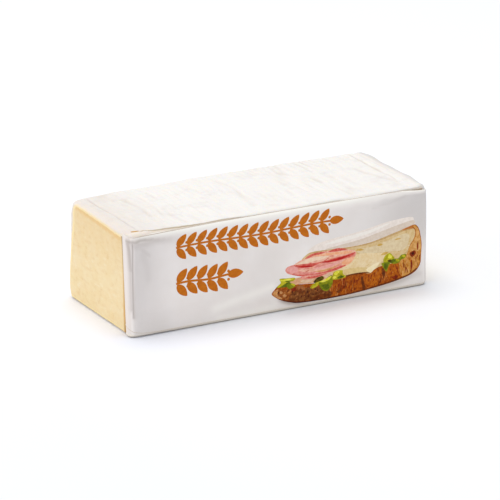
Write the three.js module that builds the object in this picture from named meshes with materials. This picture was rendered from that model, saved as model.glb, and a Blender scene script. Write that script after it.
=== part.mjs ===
// A bar of soft white cheese for slicing, as a shop sells it. White bloomy rind covers its long sides. Both
// ends are cut across, so that the pale paste shows inside a narrow rim of rind, and a thin printed label is
// folded round the front, a little way round each end and over the top edge.
// Millimetres. X runs along the bar, the label faces -Y, and the bar rests on the plane Z = 0.
import * as THREE from "three";
import { mergeVertices } from "three/addons/utils/BufferGeometryUtils.js";

// The whole thing, with its label
const length = 208;
const width = 88;
const height = 66;

// The label is thin film that stands just off the cheese
const filmThickness = 0.35;
const filmGap = 0.3;
const filmStandOff = filmGap + filmThickness;

// The soft bar has settled: low on its back it bulges past the top edge
const backBulge = 3.4;
const bulgeHeight = 8;
const bulgeReachUp = 20;
const bulgeReachDown = 8.5;

// The cheese alone, before it bulges: the label adds to both ends and to the front
const cheeseLength = length - 2 * filmStandOff;
const cheeseFront = -width / 2 + filmStandOff;
const cheeseBack = width / 2 - backBulge;
const cheeseWidth = cheeseBack - cheeseFront;
const cheeseMiddleY = (cheeseFront + cheeseBack) / 2;

// How far each edge's rounding reaches in from the faces beside it
const endRound = 4.2;
const sideRound = 3.6;
const topRound = 4;
const footRound = 1;

// The cut ends: the paste has sunk a little inside the rim of rind that is left round it
const pasteSunk = 0.5;
const pasteStep = 0.9;
const rimAtTop = 3.4;
const rimAtBack = 3.4;
const rimAtFront = 3;
const rimAtFoot = 0.4;
const rimBend = 4.5;

// The rind: long dips along the top and straight creases across it near the ends. Each has its place along
// the bar, its reach to either side and its depth. Dips are deepest at the back, with a share left in front.
const topDips = [
  { x: -92, reach: 12, depth: 1.3, inFront: 0 },
  { x: -52, reach: 20, depth: 0.9, inFront: 0.3 },
  { x: 82, reach: 18, depth: 0.7, inFront: 0.3 },
];
const topCreases = [
  { x: -cheeseLength / 2 + 9.8, reach: 0.8, depth: 0.4 },
  { x: cheeseLength / 2 - 6.1, reach: 0.8, depth: 0.3 },
  { x: cheeseLength / 2 - 11.4, reach: 0.9, depth: 0.4 },
];

// Top corners that have been pressed rounder or a little out of place
const pressedCorners = [
  { at: [-cheeseLength / 2, cheeseBack, height], reach: 7, by: [1.2, -1.3, -1.5] },
  { at: [cheeseLength / 2 - 6, cheeseBack, height], reach: 7, by: [0, 0, -1.1] },
  { at: [cheeseLength / 2, cheeseFront, height], reach: 7, by: [-0.9, 0.1, 0.5] },
];

// The rim along the top of the right end is lumpy: each lump has its place across the bar, reach and height
const rimLumps = [
  { x: 38, reach: 4, depth: 0.6 },
  { x: 26, reach: 10.5, depth: 1.95 },
  { x: -1, reach: 15, depth: 1.5 },
  { x: -23, reach: 8, depth: 1.3 },
  { x: -44, reach: 4, depth: 0.9 },
];
const lumpSpread = 3.2;

// The foot: below the label the cheese swells out to the label's face, and it is tucked in at both ends
const footLip = 0.55;
const footTuck = 0.2;
const footTuckHeight = 3;

// The front: the film's fold has pressed a groove beside the left edge, and the face swells in between
const foldGroove = { x: -cheeseLength / 2 + 2.5, reach: 0.9, depth: 0.3 };
const foldGrooveFrom = 8;
const foldGrooveTo = 60;
const frontHollow = { x: -86, reach: 12, depth: 0.35 };

// How far the label reaches: round each end, widest at the top, and up onto the rounding of the top edge,
// where its hem droops towards both ends. All are measured from the sharp edges that the rounding takes off.
const returnAtFoot = 6;
const returnAtTop = 10.3;
const hemAboveFloor = 0.75;
const hemBelowTop = 0.2;
const hemDroops = [
  { x: -104, reach: 20, depth: 2.1 },
  { x: 106, reach: 23, depth: 3.4 },
];
const rightReturnDroop = 0.9;

// Grid: shares of an edge's rounding at which it is cut, and the even steps in between
const edgeCuts = [0, 0.27, 0.58, 1];
const stepX = 9;
const stepY = 8;
const stepZ = 6;

const clamp = THREE.MathUtils.clamp;
const lerp = THREE.MathUtils.lerp;
const smoothstep = THREE.MathUtils.smoothstep;

// A soft dip or groove: its depth at its middle, fading to nothing over its reach.
function hollow(x, { x: middle, reach, depth }) {
  return depth * Math.exp(-(((x - middle) / reach) ** 2));
}

// Grid lines over a length: at the given distances from either end, and evenly between.
function gridLines(total, fromLow, fromHigh, step) {
  const low = fromLow.at(-1);
  const high = total - fromHigh.at(-1);
  const steps = Math.max(1, Math.round((high - low) / step));
  const between = Array.from({ length: steps - 1 }, (_, i) => low + ((high - low) * (i + 1)) / steps);
  return [...fromLow, ...between, ...fromHigh.map((d) => total - d).reverse()];
}

function edgeLines(round, ...more) {
  return [...edgeCuts.map((share) => share * round), ...more];
}

// The box's grid, denser at its edges and where the creases lie.
const fromLeft = edgeLines(endRound, 8.9, 9.8, 10.7);
const fromRight = edgeLines(endRound, 5.2, 6.1, 7, 10.5, 11.4, 12.3);
const linesX = gridLines(cheeseLength, fromLeft, fromRight, stepX);
const linesY = gridLines(cheeseWidth, edgeLines(sideRound, 4.6), edgeLines(sideRound, 4.6), stepY);
const linesZ = gridLines(height, edgeLines(footRound), edgeLines(topRound, 5), stepZ);

// The label's rows below the top edge's rounding, and how many more follow on it.
const rowsOnRounding = 3;
const labelRows = gridLines(height - topRound, [hemAboveFloor], [0], stepZ);

// A grid point of the box, moved onto the box's rounded form. Grow pushes every face out by as much.
function roundedPoint([x, y, z], grow) {
  const from = [x, y, z - height / 2];
  const half = [cheeseLength / 2, cheeseWidth / 2, height / 2];
  const round = [endRound, sideRound, z > height / 2 ? topRound : footRound];
  const core = from.map((v, i) => clamp(v, round[i] - half[i], half[i] - round[i]));
  const out = from.map((v, i) => (v - core[i]) / round[i]);
  const reach = Math.hypot(...out);
  const [px, py, pz] = core.map((v, i) => v + (out[i] / reach) * (round[i] + grow));
  return new THREE.Vector3(px, py + cheeseMiddleY, pz + height / 2);
}

// What the settled cheese and the film that lies on it share.
function settle(p) {
  const towardsBack = smoothstep(p.y, 0, cheeseBack);
  const reachOfBulge = p.z > bulgeHeight ? bulgeReachUp : bulgeReachDown;
  p.y += towardsBack * hollow(p.z, { x: bulgeHeight, reach: reachOfBulge, depth: backBulge });
  for (const { at, reach, by } of pressedCorners) {
    const near = Math.exp(-((p.distanceTo(new THREE.Vector3(...at)) / reach) ** 2));
    p.addScaledVector(new THREE.Vector3(...by), near);
  }
  const onFront = smoothstep(-p.y, -cheeseFront - sideRound, -cheeseFront - sideRound / 2);
  const above = smoothstep(p.z, foldGrooveFrom - 4, foldGrooveFrom);
  const below = smoothstep(-p.z, -foldGrooveTo - 3, -foldGrooveTo);
  p.y += onFront * above * below * (hollow(p.x, foldGroove) + hollow(p.x, frontHollow));
  return p;
}

// Dips, creases and lumps of the rind on top. They leave the foot alone, which stays flat.
function dentTop(p) {
  const fromRim = Math.hypot(cheeseLength / 2 - p.x, height - p.z) / lumpSpread;
  const lump = rimLumps.reduce((sum, one) => sum + hollow(p.y, one), 0) * Math.exp(-(fromRim ** 2));
  p.add(new THREE.Vector3(lump, 0, lump).multiplyScalar(Math.SQRT1_2));
  const onTop = smoothstep(p.z, height - topRound, height - topRound / 4);
  const backShare = (p.y - cheeseFront) / cheeseWidth;
  const dips = topDips.reduce((sum, dip) => sum + hollow(p.x, dip) * lerp(dip.inFront, 1, backShare), 0);
  const creases = topCreases.reduce((sum, crease) => sum + hollow(p.x, crease), 0);
  p.z -= onTop * (dips + creases);
  return p;
}

// How deep the paste at a cut end has sunk here, for a point of the form before it settled.
function pasteDepth(p) {
  const fromFace = cheeseLength / 2 - Math.abs(p.x);
  const onEnd = smoothstep(-fromFace, -endRound / 3, 0);
  const fromTop = height - rimAtTop - p.z;
  const fromBack = cheeseBack - rimAtBack - p.y;
  const corner = rimBend - Math.hypot(Math.max(rimBend - fromTop, 0), Math.max(rimBend - fromBack, 0));
  const inside = Math.min(fromTop, fromBack, corner, p.z - rimAtFoot, p.y - cheeseFront - rimAtFront);
  return pasteSunk * onEnd * smoothstep(inside, 0, pasteStep);
}

// The lip under the label and the tuck at both ends.
function shapeFoot(p) {
  const atFront = smoothstep(-p.y, -cheeseFront - 2 * sideRound, -cheeseFront - sideRound / 4);
  p.y -= footLip * atFront * (1 - smoothstep(p.z, footRound * edgeCuts[1], footRound * edgeCuts[2]));
  const atEnd = smoothstep(Math.abs(p.x), cheeseLength / 2 - 2 * endRound, cheeseLength / 2);
  p.x -= Math.sign(p.x) * atEnd * hollow(p.z, { x: 0, reach: footTuckHeight, depth: footTuck });
  return p;
}

// A block of grid cells as one closed mesh. Place gives each grid point its position.
function gridGeometry(cells, place) {
  const box = new THREE.BoxGeometry(...cells, ...cells);
  box.deleteAttribute("normal");
  box.deleteAttribute("uv");
  const closed = mergeVertices(box);
  const position = closed.getAttribute("position");
  const index = (v, axis) => Math.round(v + cells[axis] / 2);
  for (let n = 0; n < position.count; n++) {
    const [i, j, k] = [position.getX(n), position.getY(n), position.getZ(n)].map(index);
    position.setXYZ(n, ...place(i, j, k).toArray());
  }
  closed.computeVertexNormals();
  return closed;
}

function cheeseGeometry() {
  const cells = [linesX, linesY, linesZ].map((lines) => lines.length - 1);
  return gridGeometry(cells, (i, j, k) => {
    const onBox = [linesX[i] - cheeseLength / 2, linesY[j] - cheeseWidth / 2, linesZ[k]];
    const p = roundedPoint(onBox, 0);
    const sunk = pasteDepth(p);
    dentTop(settle(p));
    p.x -= Math.sign(p.x) * sunk;
    return shapeFoot(p);
  });
}

// Where the label's lines lie on its return at this height, as distances behind the front.
function returnLines(z) {
  const hem = lerp(returnAtFoot, returnAtTop, z / height) - filmStandOff;
  return [...edgeCuts.slice(1).map((share) => share * sideRound), (sideRound + hem) / 2, hem];
}

// The label's lines from hem to hem: up the left return, along the front and back down the right return.
function wrapPoint(i, z) {
  const back = returnLines(z);
  const alongFront = i - back.length;
  const front = -cheeseWidth / 2;
  if (alongFront < 0) {
    return [-cheeseLength / 2, front + back[back.length - 1 - i]];
  }
  if (alongFront < linesX.length) {
    return [linesX[alongFront] - cheeseLength / 2, front];
  }
  return [cheeseLength / 2, front + back[alongFront - linesX.length]];
}

// The label's lines from its lower hem to its upper one. Those on the top edge's rounding follow its droop.
function climb(j, x, behindFront) {
  const straight = labelRows.length - 1;
  if (j <= straight) {
    return labelRows[j];
  }
  const droops = hemDroops.reduce((sum, droop) => sum + hollow(x, droop), 0);
  const onReturn = x > 0 ? rightReturnDroop * smoothstep(behindFront, 0, sideRound) : 0;
  return lerp(height - topRound, height - hemBelowTop - droops - onReturn, (j - straight) / rowsOnRounding);
}

// The film, bent round the bar: its inner skin lies just off the cheese, its outer one a thickness out.
function labelGeometry() {
  const across = 2 * returnLines(0).length + linesX.length - 1;
  const up = labelRows.length - 1 + rowsOnRounding;
  return gridGeometry([across, up, 1], (i, j, k) => {
    const [x, y] = wrapPoint(i, height / 2);
    const z = climb(j, x, y + cheeseWidth / 2);
    return settle(roundedPoint([...wrapPoint(i, z), z], k === 0 ? filmGap : filmStandOff));
  });
}

const cheeseLook = new THREE.MeshStandardMaterial({ color: 0xf7efdc, roughness: 0.75, metalness: 0 });
const labelLook = new THREE.MeshStandardMaterial({ color: 0xe9e7e4, roughness: 0.35, metalness: 0 });

const cheese = new THREE.Mesh(cheeseGeometry(), cheeseLook);
cheese.name = "brie";

const label = new THREE.Mesh(labelGeometry(), labelLook);
label.name = "label";

const bar = new THREE.Group();
bar.add(cheese, label);

export default bar;
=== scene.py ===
import functools
import itertools
import math

import bpy
import numpy as np
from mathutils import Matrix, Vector
from mathutils.geometry import delaunay_2d_cdt


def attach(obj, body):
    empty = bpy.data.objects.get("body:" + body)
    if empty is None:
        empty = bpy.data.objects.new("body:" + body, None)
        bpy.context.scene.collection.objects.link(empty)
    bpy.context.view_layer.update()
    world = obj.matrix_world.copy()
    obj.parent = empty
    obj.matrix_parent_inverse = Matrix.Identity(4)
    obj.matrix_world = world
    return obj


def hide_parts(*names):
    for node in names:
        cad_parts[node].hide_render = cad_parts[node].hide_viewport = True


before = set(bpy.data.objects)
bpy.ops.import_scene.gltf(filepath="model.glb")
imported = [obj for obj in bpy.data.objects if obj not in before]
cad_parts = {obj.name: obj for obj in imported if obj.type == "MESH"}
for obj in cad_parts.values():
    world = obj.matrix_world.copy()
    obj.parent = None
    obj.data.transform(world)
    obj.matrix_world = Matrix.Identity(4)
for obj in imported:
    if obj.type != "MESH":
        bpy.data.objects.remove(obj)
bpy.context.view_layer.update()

mm = 0.001
print("frame loaded")


def linear(hexColour, alpha=1.0):
    # sRGB hex to the linear values that the shaders work in
    parts = [int(hexColour[i:i + 2], 16) / 255 for i in (0, 2, 4)]
    return (*[c / 12.92 if c <= 0.04045 else ((c + 0.055) / 1.055) ** 2.4 for c in parts], alpha)


def addNode(tree, kind, settings=None, inputs=None, output=0):
    # one node with its settings, its values and its links; gives one of its outputs
    node = tree.nodes.new("ShaderNode" + kind)
    for name, value in (settings or {}).items():
        if name == "stops":  # a ramp's places and hex colours
            ramp = node.color_ramp
            while len(ramp.elements) < len(value):
                ramp.elements.new(0.5)
            for element, (place, colour) in zip(ramp.elements, value):
                element.position = place
                element.color = linear(colour)
        else:
            setattr(node, name, value)
    for name, value in (inputs or {}).items():
        if isinstance(value, bpy.types.NodeSocket):
            tree.links.new(value, node.inputs[name])
        else:
            node.inputs[name].default_value = value
    return node.outputs[output] if len(node.outputs) else None


def newMaterial(name):
    # an empty material, and addNode for its tree
    material = bpy.data.materials.new(name)
    material.use_nodes = True
    material.node_tree.nodes.clear()
    return material, functools.partial(addNode, material.node_tree)


def softNoise(points, cell, seed):
    # smooth random field from -1 to 1, with one cell of so many mm along each axis
    table = np.random.RandomState(seed).uniform(-1, 1, (32, 32, 32))
    p = points / np.array(cell, float)
    low = np.floor(p).astype(int)
    part = p - low
    part = part * part * (3 - 2 * part)
    value = np.zeros(len(points))
    for corner in itertools.product((0, 1), repeat=3):
        index = (low + np.array(corner)) % 32
        weight = np.prod(np.where(corner, part, 1 - part), axis=1)
        value += table[index[:, 0], index[:, 1], index[:, 2]] * weight
    return value


def ramp(x, low, high):
    # 0 below low, 1 above high and smooth between; low may be the larger one
    t = np.clip((x - low) / (high - low), 0, 1)
    return t * t * (3 - 2 * t)


def bell(x, middle, reach):
    # 1 in the middle, fading to both sides
    return np.exp(-((x - middle) / reach) ** 2)


def stepped(x, profile):
    # a value along x: profile's first one, then changed by so much from one place to another
    value = profile[0]
    for by, low, high in profile[1:]:
        value = value + by * ramp(x, low, high)
    return value


def nearLine(points, line, reach):
    # 1 on a flat line through some places, fading to its sides
    nearest = np.full(len(points), 999.0)
    for a, b in zip(np.array(line[:-1], float), np.array(line[1:], float)):
        along = np.clip((points - a) @ (b - a) / ((b - a) @ (b - a)), 0, 1)
        nearest = np.minimum(nearest, np.linalg.norm(points - a - along[:, None] * (b - a), axis=1))
    return bell(nearest, 0, reach)


def makeMesh(name, points, faces, materials, faceMaterials=None, fields=None):
    # points in mm, faces as lists of point numbers, fields as one value for each point
    mesh = bpy.data.meshes.new(name)
    mesh.from_pydata((points * mm).tolist(), [], faces)
    for material in materials:
        mesh.materials.append(material)
    if faceMaterials is not None:
        mesh.polygons.foreach_set("material_index", faceMaterials)
    for field, values in (fields or {}).items():
        mesh.attributes.new(field, "FLOAT", "POINT").data.foreach_set("value", values.astype(np.float32))
    mesh.polygons.foreach_set("use_smooth", [True] * len(mesh.polygons))
    mesh.validate()
    piece = bpy.data.objects.new(name, mesh)
    bpy.context.scene.collection.objects.link(piece)
    return piece


# the bar's form, in mm, shared by the cheese and the label on it
bar = {
    "length": 208, "width": 88, "height": 66,  # the whole, with its label
    "filmThickness": 0.35, "filmGap": 0.3,
    "endRound": 4.2, "sideRound": 3.6, "topRound": 4.0, "footRound": 1.0,
    "bulge": 3.4, "bulgeHeight": 8, "bulgeUp": 20, "bulgeDown": 8.5,  # how far it has spread at the back
    "frontHollows": ((-100.85, 0.9, 0.3), (-86, 12, 0.35)),  # x, reach and depth
    "returnAtFoot": 6.0, "returnAtTop": 10.3,  # the label's reach round each end
    "filmFoot": 0.85, "filmFootRight": 0.35,  # height of the label's lower edge
    # how far its upper hem lies below the sharp top edge: everywhere, more between the corners, more on
    # the right return, and in its droops, with x, reach and depth
    "hemBelowTop": 0.2, "hemBetween": 0.5, "rightReturnDroop": 0.9,
    "droops": ((-104, 20, 2.1), (-69, 11, 0.7), (106, 23, 3.4)),
}
standOff = bar["filmThickness"] + bar["filmGap"]
cheeseLength = bar["length"] - 2 * standOff
cheeseFront = -bar["width"] / 2 + standOff
cheeseBack = bar["width"] / 2 - bar["bulge"]
cheeseWidth = cheeseBack - cheeseFront
height = bar["height"]
halfLength, halfWidth = cheeseLength / 2, cheeseWidth / 2
pressedCorners = (  # place, reach and how far it was pressed along x, y and z
    ((-halfLength, cheeseBack, height), 7, (1.2, -1.3, -1.5)),
    ((halfLength - 6, cheeseBack, height), 7, (0.0, 0.0, -1.1)),
    ((halfLength, cheeseFront, height), 7, (-0.9, 0.1, 0.5)),
)


def roundOff(box, grow):
    # box is points on the sharp box, y from its own middle; gives the rounded form and its outward direction
    half = np.array([halfLength, halfWidth, height / 2])
    at = box - [0, 0, height / 2]
    rounding = np.empty_like(at)
    rounding[:, 0] = bar["endRound"]
    rounding[:, 1] = bar["sideRound"]
    rounding[:, 2] = np.where(at[:, 2] > 0, bar["topRound"], bar["footRound"])
    core = np.clip(at, rounding - half, half - rounding)
    out = (at - core) / rounding
    out /= np.linalg.norm(out, axis=1, keepdims=True)
    placed = core + out * (rounding + np.reshape(grow, (-1, 1)))
    return placed + [0, (cheeseFront + cheeseBack) / 2, height / 2], out


def settle(p):
    # the soft bar's spread at the back, its pressed corners and the hollows in its front
    p = p.copy()
    reach = np.where(p[:, 2] > bar["bulgeHeight"], bar["bulgeUp"], bar["bulgeDown"])
    p[:, 1] += ramp(p[:, 1], 0, cheeseBack) * bar["bulge"] * bell(p[:, 2], bar["bulgeHeight"], reach)
    for at, wide, by in pressedCorners:
        p += bell(np.linalg.norm(p - at, axis=1), 0, wide)[:, None] * np.array(by)
    onFront = ramp(-p[:, 1], -cheeseFront - bar["sideRound"], -cheeseFront - bar["sideRound"] / 2)
    onFront *= ramp(p[:, 2], 4, 8) * ramp(p[:, 2], height - 3, height - 6)
    p[:, 1] += onFront * sum(deep * bell(p[:, 0], x, wide) for x, wide, deep in bar["frontHollows"])
    return p


def hemDrop(x):
    # how far the label's upper hem lies below the sharp top edge
    onReturn = ramp(x, halfLength, halfLength + bar["sideRound"])
    x = np.clip(x, -halfLength, halfLength)
    drop = bar["hemBelowTop"] + bar["hemBetween"] * ramp(x, -88, -78) * ramp(x, 92, 74)
    for middle, wide, deep in bar["droops"]:
        drop = drop + deep * bell(x, middle, wide)
    return drop + bar["rightReturnDroop"] * onReturn


def returnWidth(z):
    # of the label round each end, from the sharp corner
    return bar["returnAtFoot"] + (bar["returnAtTop"] - bar["returnAtFoot"]) * z / height - standOff


cheese = {
    "stepX": 0.85, "stepY": 1.3, "stepZ": 1.3,  # mesh spacing
    # mesh lines in each rounding, then the first ones beyond it
    "roundLines": {
        "end": (6,), "front": (10, 4.0, 4.5), "back": (6, 4.4), "foot": (4, 1.3, 1.8), "top": (9, 4.4, 4.8),
    },
    "pasteSunk": 0.5, "pasteStep": 0.9,  # depth of the paste inside its rim, and width of the step down to it
    # rind left round the cut paste, and how the paste's upper edge rises to the back and sags to the front
    "rim": {"top": 3.4, "back": 2.1, "backHigh": 3.2, "foot": 0.4, "front": 3.0, "bend": 4.5},
    "pasteTop": (0, (1.0, -6, 30), (-0.9, -6, -25)),
    "dips": ((-92, 12, 1.3, 0.0), (-52, 20, 0.9, 0.3), (82, 18, 0.7, 0.3)),  # x, reach, depth, share in front
    # across the top near both ends: x, reach, depth
    "creases": ((9.8 - halfLength, 0.8, 0.4), (halfLength - 6.1, 0.8, 0.3), (halfLength - 11.4, 0.9, 0.4)),
    "footLift": 0.7,  # of the foot's edge in front and at the ends
    # along the right end's rim: y, reach, height
    "lumps": ((38, 4, 0.6), (26, 10.5, 1.95), (-1, 15, 1.5), (-23, 8, 1.3), (-44, 4, 0.9)),
    # of the rind's lip above the label, along x: its place behind the sharp front top edge, how deep the
    # strip under it lies, and the width and share of the painted shadow line under it
    "lipPlace": (0.45, (1.9, -16, -44), (1.2, -60, -100), (3.4, -86, -98)),
    "gape": (0.3, (0.2, 84, 96)),
    "lineWidth": (
        2.1, (0.5, -50, -70), (-0.5, -76, -88), (0.4, -93.8, -96.4), (-0.4, -99.4, -101.4), (9, 72, 86),
    ),
    "lineShare": (0.62, (0.13, 20, -20), (0.1, -50, -66), (0.3, -93.4, -96.4), (-1.15, -98.9, -100.3)),
    "folds": (  # in the rind on top: depth, reach, share of painted shade and the x, y places that each runs through
        (0.50, 0.8, 0.75, ((-93.4, 35), (-94, 22), (-94.2, 8), (-93.3, -7), (-94.8, -21), (-95.6, -34))),
        (0.40, 1.5, 0.3, ((-93, 14), (-90.4, 4), (-89, -4), (-89.8, -12), (-87.4, -19), (-84, -24))),
        (0.40, 2.4, 0.2, ((-81, 23), (-76, 21), (-72.4, 14), (-71.2, 6), (-73, -4), (-75, -14))),
        (0.35, 1.4, 0.3, ((-55.2, 28), (-55.6, 16), (-54.8, 2), (-54, -12))),
        (0.40, 2.2, 0.3, ((-32, 22), (-28.4, 16), (-26.4, 10))),
        (0.45, 1.9, 0.4, ((-9, 26), (-5.8, 18), (-6.2, 8), (-7.4, 0), (-8.8, -14), (-10.4, -28))),
        (0.40, 2.0, 0.3, ((35, 22), (38.6, 14), (40.6, 6), (39.2, -6), (38, -20))),
        (0.45, 2.2, 0.4, ((45.8, 6), (47.6, 0), (48.8, -6))),
        (0.35, 1.8, 0.3, ((57.6, 8), (59.4, -2), (59, -14), (58, -26))),
        (0.15, 0.9, 0.7, ((91.2, 35), (91.4, 16), (92.6, 0), (92.8, -12), (91, -24))),
        (0.60, 2.6, 0.5, ((80.6, 6), (84.4, -10), (88.2, -20), (90.6, -27))),
        (0.10, 0.9, 0.4, ((97.2, 29), (96.8, 9), (97.4, -14))),
    ),
    "joins": (  # of curds, showing as fine lines in the cut ends: which end, and the y, z places
        (-1, ((29, 34), (22, 35), (15, 35.6))), (-1, ((8, 31), (-10, 33.4), (-26, 33))),
        (-1, ((-2, 13), (-20, 15))), (1, ((-22, 44), (-8, 46.5), (6, 45.6))),
        (1, ((12, 25), (24, 23.4), (33, 24.6))), (1, ((-24, 17), (-12, 18.4))),
    ),
    "ripple": 0.15, "rippleEvery": 4.4,  # height and spacing of the ridges that the draining mat left
    "waves": {  # random unevenness: height, then cell along x, y and z, all in mm, and the seed
        "creaseWander": (0.9, (40, 11, 40), 3), "creaseDepth": (0.45, (60, 14, 60), 5),
        "foldWander": (1.3, (7, 9, 40), 6), "foldDepth": (0.25, (30, 9, 30), 4),
        "ridgeWander": (2.6, (17, 21, 30), 7), "ridgeJitter": (0.8, (5, 13, 30), 8),
        "ridgeDepth": (0.8, (22, 16, 30), 9), "streaks": (0.30, (4.4, 17, 20), 10),
        "fineStreaks": (0.17, (2.2, 8, 9), 11), "softFolds": (0.34, (13, 34, 30), 12),
        "pimples": (0.1, (5, 5, 5), 13),
        "ribs": (0.20, (4.4, 20, 19), 21), "fineRibs": (0.12, (2.2, 20, 9), 22),
        "sideFolds": (0.34, (19, 30, 24), 26), "sideDents": (0.15, (8, 20, 8), 27),
        "knifeSmear": (0.15, (20, 22, 7), 23), "knifeLines": (0.05, (9, 9, 2.4), 24),
        "curdGrain": (0.06, (5, 4, 4), 25),
        "joinWanderY": (0.4, (9, 5, 5), 28), "joinWanderZ": (0.5, (9, 6, 6), 29),
    },
    # patterns of the surface: mm across, detail, roughness and how far each is drawn out along y
    "patterns": {
        "patches": (12, 5, 0.65, 1), "flecks": (2.0, 3, 0.5, 1), "velvet": (0.7, 3, 0.7, 1),
        "curd": (3.0, 4, 0.6, 1.8), "cloud": (9, 4, 0.6, 1), "streaks": (2.6, 3, 0.6, 9),
        "ragged": (4, 2, 0.5, 1),
    },
    # of the rind, then of the paste, which the knife left smoother
    "bump": (0.35, 0.12), "roughness": (0.85, 0.55),
    "bumpHeight": 0.12, "ior": 1.45,  # mm
    "lightInside": (1.0, 0.7, 0.4),  # mm that red, green and blue light reaches into it
    "colours": {
        "rindGrey": "E6E1DE", "rindHollowShade": "CDBDB0", "rindRimShade": "E2D6CC", "rindShade": "CFCCCB",
        "rindCreamy": "F0DDB8", "pasteLight": "EFDCB4", "pasteTop": "E0BC80", "pasteShadeUnderRind": "E2B86E",
        "pasteRimHighlight": "F8E2AC", "pasteFootShadow": "987648", "strip": "EADFD4",
        "lipShadowLine": "B9A78C", "lipOchre": "C2934E", "lipGapShadow": "957F66",
    },
    # the painted shadow line under the rind's lip is tan, with ochre at its left end and a brown painted gap
    # shadow at its right; x in m
    "lineEnds": ((-0.0936, -0.0958, "lipOchre"), (0.080, 0.088, "lipGapShadow")),
    # colours in turn along a pattern or the height; the last is the paste's oily ochre front edge with
    # painted shadow beside the film's edge, darkest at its foot
    "ramps": {
        "rind": ("patches", (0.32, "E6E1DE"), (0.46, "EDE9E5"), (0.62, "EDE9E5"), (0.78, "EAE3DA")),
        "paste": ("curd", (0.34, "E6CA94"), (0.47, "ECD4A2"), (0.56, "ECD4A2"), (0.68, "EFDCB4")),
        "dried": (
            "up", (0.03, "A9781E"), (0.08, "BC8A26"), (0.14, "D09C4C"), (0.6, "CDA25E"), (0.9, "A08660"),
        ),
    },
    # laid over each other in turn: below, what steers it, from where to where it grows, its most as a
    # number or a field, and above; x and z are in m, other distances in mm
    "layers": (
        ("rind", "flecks", 0.35, 0.7, 0.12, "rindGrey"),
        # painted shade in the rind's folds and hollows
        ("rind", "hollow", 0.05, 0.9, 0.55, "rindHollowShade"),
        # darker towards the left end, in the colour of the painted hollow shade
        ("rind", "x", -0.055, -0.098, 0.30, "rindHollowShade"),
        # painted shade on the rind's rounding near each end
        ("rind", "fromEnd", 7.5, 3.0, 0.45, "rindRimShade"),
        ("rind", "x", 0.0980, 0.1010, 0.7, "rindShade"),
        ("rind", "intoPaste", -1.6, 0.5, 0.7, "rindCreamy"),
        ("paste", "cloud", 0.38, 0.66, 0.45, "pasteLight"),
        ("paste", "z", 0.026, 0.060, 0.3, "pasteTop"),
        ("paste", "streaks", 0.56, 0.72, 0.3, "pasteTop"),
        # painted shade on the paste under the rind's overhang at its upper edge
        ("paste", "belowRind", 5.4, 2.4, 0.6, "pasteShadeUnderRind"),
        # painted highlight along the paste's edge where it meets the rind
        ("paste", "intoPaste", 2.5, 1.5, 0.9, "pasteRimHighlight"),
        # painted contact shadow at the paste's foot
        ("paste", "z", 0.0020, 0.0004, 0.5, "pasteFootShadow"),
        ("dried", "besideFilm", -0.15, -0.5, 1.0, "rindCreamy"),
        # the paste's oily ochre edge, with painted shadow beside the film's edge
        ("paste", "besideFilm", 1.3, 0.4, 0.95, "dried"),
        ("rind", "intoPaste", 0.45, 0.85, 1.0, "paste"),
        # painted shadow line under the rind's lip
        ("strip", "fromLip", -0.75, -0.3, "lineShare", "lipShadowLine"),
        ("rind", "fromLip", 0.1, -0.1, 1.0, "strip"),
    ),
}


def wave(points, name):
    # one of the random unevennesses of the surface, in mm
    high, cell, seed = cheese["waves"][name]
    return high * softNoise(points, cell, seed)


def shapeTop(p):
    # dips, creases and ridges of the rind on top, and the lumpy rim at the right end; it also gives how
    # hollow each point is, as the share of painted shade there
    p = p.copy()
    onRim = bell(np.hypot(halfLength - p[:, 0], height - p[:, 2]), 0, 3.2)
    lump = onRim * sum(high * bell(p[:, 1], y, wide) for y, wide, high in cheese["lumps"])
    p[:, 0] += lump * math.sqrt(0.5)
    p[:, 2] += lump * math.sqrt(0.5)
    onTop = ramp(p[:, 2], height - bar["topRound"], height - bar["topRound"] / 4)
    back = (p[:, 1] - cheeseFront) / cheeseWidth
    for x, wide, deep, inFront in cheese["dips"]:
        p[:, 2] -= onTop * deep * bell(p[:, 0], x, wide) * (inFront + (1 - inFront) * back)
    wander = wave(p, "creaseWander")
    for x, wide, deep in cheese["creases"]:
        p[:, 2] -= onTop * deep * (0.75 + wave(p, "creaseDepth")) * bell(p[:, 0] + wander, x, wide)
    hollow = np.zeros(len(p))
    wavy = p[:, :2] + np.stack([wave(p, "foldWander"), np.zeros(len(p))], 1)
    for deep, wide, tint, line in cheese["folds"]:
        near = nearLine(wavy, line, wide) * (0.9 + wave(p, "foldDepth"))
        p[:, 2] -= onTop * deep * near
        hollow = np.maximum(hollow, near * tint)
    # ridges across the bar, broken up, with soft folds over them; smoother towards the front edge
    warp = p[:, 0] + wave(p, "ridgeWander") + wave(p, "ridgeJitter")
    strength = np.clip(0.6 + wave(p, "ridgeDepth"), 0.05, 1.2)
    ridges = cheese["ripple"] * strength * np.sin(2 * math.pi * warp / cheese["rippleEvery"])
    streaks = wave(p, "streaks") + strength * wave(p, "fineStreaks")
    folds = wave(p, "softFolds") + wave(p, "pimples")
    relief = (ridges + streaks) * (0.35 + 0.65 * ramp(back, 0.03, 0.2)) + folds
    p[:, 2] += ramp(p[:, 2], height - 3, height - 0.5) * (relief - 0.45)
    return p, onTop * np.clip(hollow + 0.9 * np.clip(-relief, 0, 0.6), 0, 1)


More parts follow.
